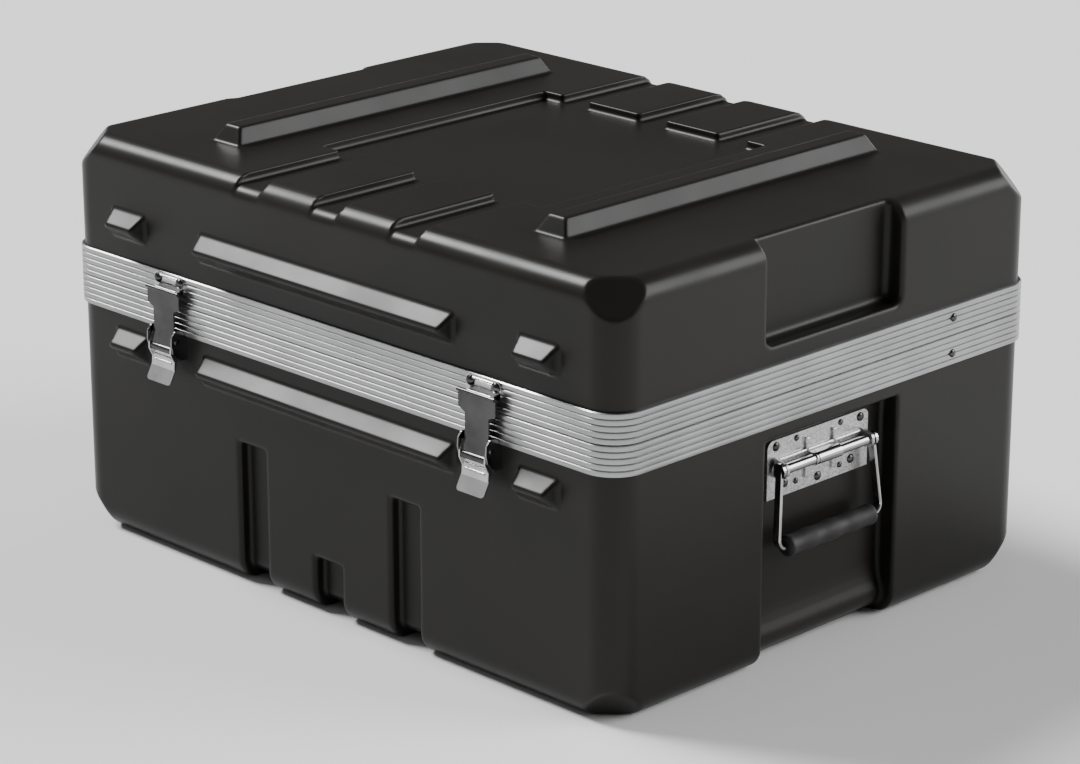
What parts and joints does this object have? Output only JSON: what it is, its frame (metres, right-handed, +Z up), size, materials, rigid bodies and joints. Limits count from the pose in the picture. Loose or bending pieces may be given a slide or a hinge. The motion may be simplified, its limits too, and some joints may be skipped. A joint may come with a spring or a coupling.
{
  "type": "equipment rack case",
  "caption": "Moulded equipment rack case with a hinged ribbed lid, aluminium valances, draw latches, end handles and a shock-mounted 19-inch frame.",
  "frame": {"origin": "middle of the flat underside that the case rests on", "axes": "+X along the latch side, to the right when facing the latches; -Y is the latch side, +Y the hinge side; +Z up"},
  "size_m": [0.7156, 0.5735, 0.397],
  "materials": {
    "shell_plastic": "satin moulded polyethylene, fine grain",
    "valance_aluminium": "satin anodised extrusion with fine lengthwise ridges",
    "latch_steel": "bright nickel plate",
    "latch_bracket_steel": "dark nickel plate",
    "handle_zinc": "zinc-plated steel, speckled",
    "bail_steel": "bright zinc or nickel plated wire",
    "grip_rubber": "black moulded rubber",
    "rivet_steel": "dark plated steel",
    "gasket_rubber": "black sponge rubber",
    "rack_steel": "black powder coat",
    "stay_steel": "zinc-plated steel",
    "bolt_steel": "zinc-plated steel",
    "mount_rubber": "black rubber"
  },
  "bodies": {
    "base": {"base_shell": "shell_plastic", "base_valance": "valance_aluminium", "handle_left_knuckle": "bail_steel", "handle_left_plate": "handle_zinc", "handle_right_knuckle": "bail_steel", "handle_right_plate": "handle_zinc", "handle_rivets": "rivet_steel", "hinge_base_rivets": "rivet_steel", "hinge_left_base_leaf": "stay_steel", "hinge_left_pin": "stay_steel", "hinge_right_base_leaf": "stay_steel", "hinge_right_pin": "stay_steel", "latch_bracket_rivets": "rivet_steel", "latch_left_bracket": "latch_bracket_steel", "latch_left_pivot_rivets": "rivet_steel", "latch_right_bracket": "latch_bracket_steel", "latch_right_pivot_rivets": "rivet_steel", "rack_crossbar_front": "rack_steel", "rack_crossbar_rear": "rack_steel", "rack_frame_bolts": "bolt_steel", "rack_rail_bolts": "bolt_steel", "rack_rail_left": "rack_steel", "rack_rail_right": "rack_steel", "rack_side_left": "rack_steel", "rack_side_right": "rack_steel", "shock_mount_bolts": "bolt_steel", "shock_mount_front_left": "mount_rubber", "shock_mount_front_right": "mount_rubber", "shock_mount_plates": "bolt_steel", "shock_mount_rear_left": "mount_rubber", "shock_mount_rear_right": "mount_rubber", "shock_mount_screws": "bolt_steel", "stay_base_rivets": "rivet_steel", "valance_gasket": "gasket_rubber"},
    "lid": {"lid_shell": "shell_plastic", "lid_valance": "valance_aluminium", "latch_left_keeper": "latch_steel", "latch_right_keeper": "latch_steel", "latch_keeper_rivets": "rivet_steel", "hinge_left_lid_leaf": "stay_steel", "hinge_right_lid_leaf": "stay_steel", "hinge_lid_rivets": "rivet_steel", "stay_lid_rivets": "rivet_steel"},
    "lever_left": {"latch_left_lever": "latch_steel", "latch_left_hasp_pin": "latch_steel"},
    "hasp_left": {"latch_left_hasp": "latch_steel"},
    "bail_left": {"handle_left_bail": "bail_steel", "handle_left_grip": "grip_rubber"},
    "stay_lower_left": {"stay_left_lower_link": "stay_steel"},
    "stay_upper_left": {"stay_left_upper_link": "stay_steel", "stay_left_elbow_pin": "stay_steel"},
    "lever_right": {"latch_right_lever": "latch_steel", "latch_right_hasp_pin": "latch_steel"},
    "hasp_right": {"latch_right_hasp": "latch_steel"},
    "bail_right": {"handle_right_bail": "bail_steel", "handle_right_grip": "grip_rubber"},
    "stay_lower_right": {"stay_right_lower_link": "stay_steel"},
    "stay_upper_right": {"stay_right_upper_link": "stay_steel", "stay_right_elbow_pin": "stay_steel"}
  },
  "joints": [
    {"name": "lid_hinge", "type": "hinge", "parent": "base", "child": "lid", "pos_m": [0, 0.2765, 0.2466], "axis": [-1, 0, 0], "range_deg": [0, 100]},
    {"name": "latch_left_lever_pivot", "type": "hinge", "parent": "base", "child": "lever_left", "pos_m": [-0.2035, -0.281, 0.216], "axis": [-1, 0, 0], "range_deg": [0, 100]},
    {"name": "latch_left_hasp_pivot", "type": "hinge", "parent": "lever_left", "child": "hasp_left", "pos_m": [-0.2035, -0.283, 0.207], "axis": [-1, 0, 0], "range_deg": [-100, 0]},
    {"name": "handle_left_bail_pivot", "type": "hinge", "parent": "base", "child": "bail_left", "pos_m": [-0.343, 0, 0.1727], "axis": [0, 1, 0], "range_deg": [0, 95]},
    {"name": "stay_left_lower_pivot", "type": "hinge", "parent": "base", "child": "stay_lower_left", "pos_m": [-0.342, 0.1555, 0.2301], "axis": [-1, 0, 0], "range_deg": [0, 130.9]},
    {"name": "stay_left_upper_pivot", "type": "hinge", "parent": "lid", "child": "stay_upper_left", "pos_m": [-0.3394, 0.1555, 0.2631], "axis": [1, 0, 0], "range_deg": [0, 130.9]},
    {"name": "latch_right_lever_pivot", "type": "hinge", "parent": "base", "child": "lever_right", "pos_m": [0.2035, -0.281, 0.216], "axis": [-1, 0, 0], "range_deg": [0, 100]},
    {"name": "latch_right_hasp_pivot", "type": "hinge", "parent": "lever_right", "child": "hasp_right", "pos_m": [0.2035, -0.283, 0.207], "axis": [-1, 0, 0], "range_deg": [-100, 0]},
    {"name": "handle_right_bail_pivot", "type": "hinge", "parent": "base", "child": "bail_right", "pos_m": [0.343, 0, 0.1727], "axis": [0, -1, 0], "range_deg": [0, 95]},
    {"name": "stay_right_lower_pivot", "type": "hinge", "parent": "base", "child": "stay_lower_right", "pos_m": [0.342, 0.1555, 0.2301], "axis": [-1, 0, 0], "range_deg": [0, 130.9]},
    {"name": "stay_right_upper_pivot", "type": "hinge", "parent": "lid", "child": "stay_upper_right", "pos_m": [0.3394, 0.1555, 0.2631], "axis": [1, 0, 0], "range_deg": [0, 130.9]}
  ],
  "couplings": [
    {"joint": "latch_left_hasp_pivot", "follows": "latch_left_lever_pivot", "ratio": -1},
    {"joint": "stay_left_lower_pivot", "follows": "lid_hinge", "ratio": 1.3081},
    {"joint": "stay_left_upper_pivot", "follows": "lid_hinge", "ratio": 1.3081},
    {"joint": "latch_right_hasp_pivot", "follows": "latch_right_lever_pivot", "ratio": -1},
    {"joint": "stay_right_lower_pivot", "follows": "lid_hinge", "ratio": 1.3081},
    {"joint": "stay_right_upper_pivot", "follows": "lid_hinge", "ratio": 1.3081}
  ]
}
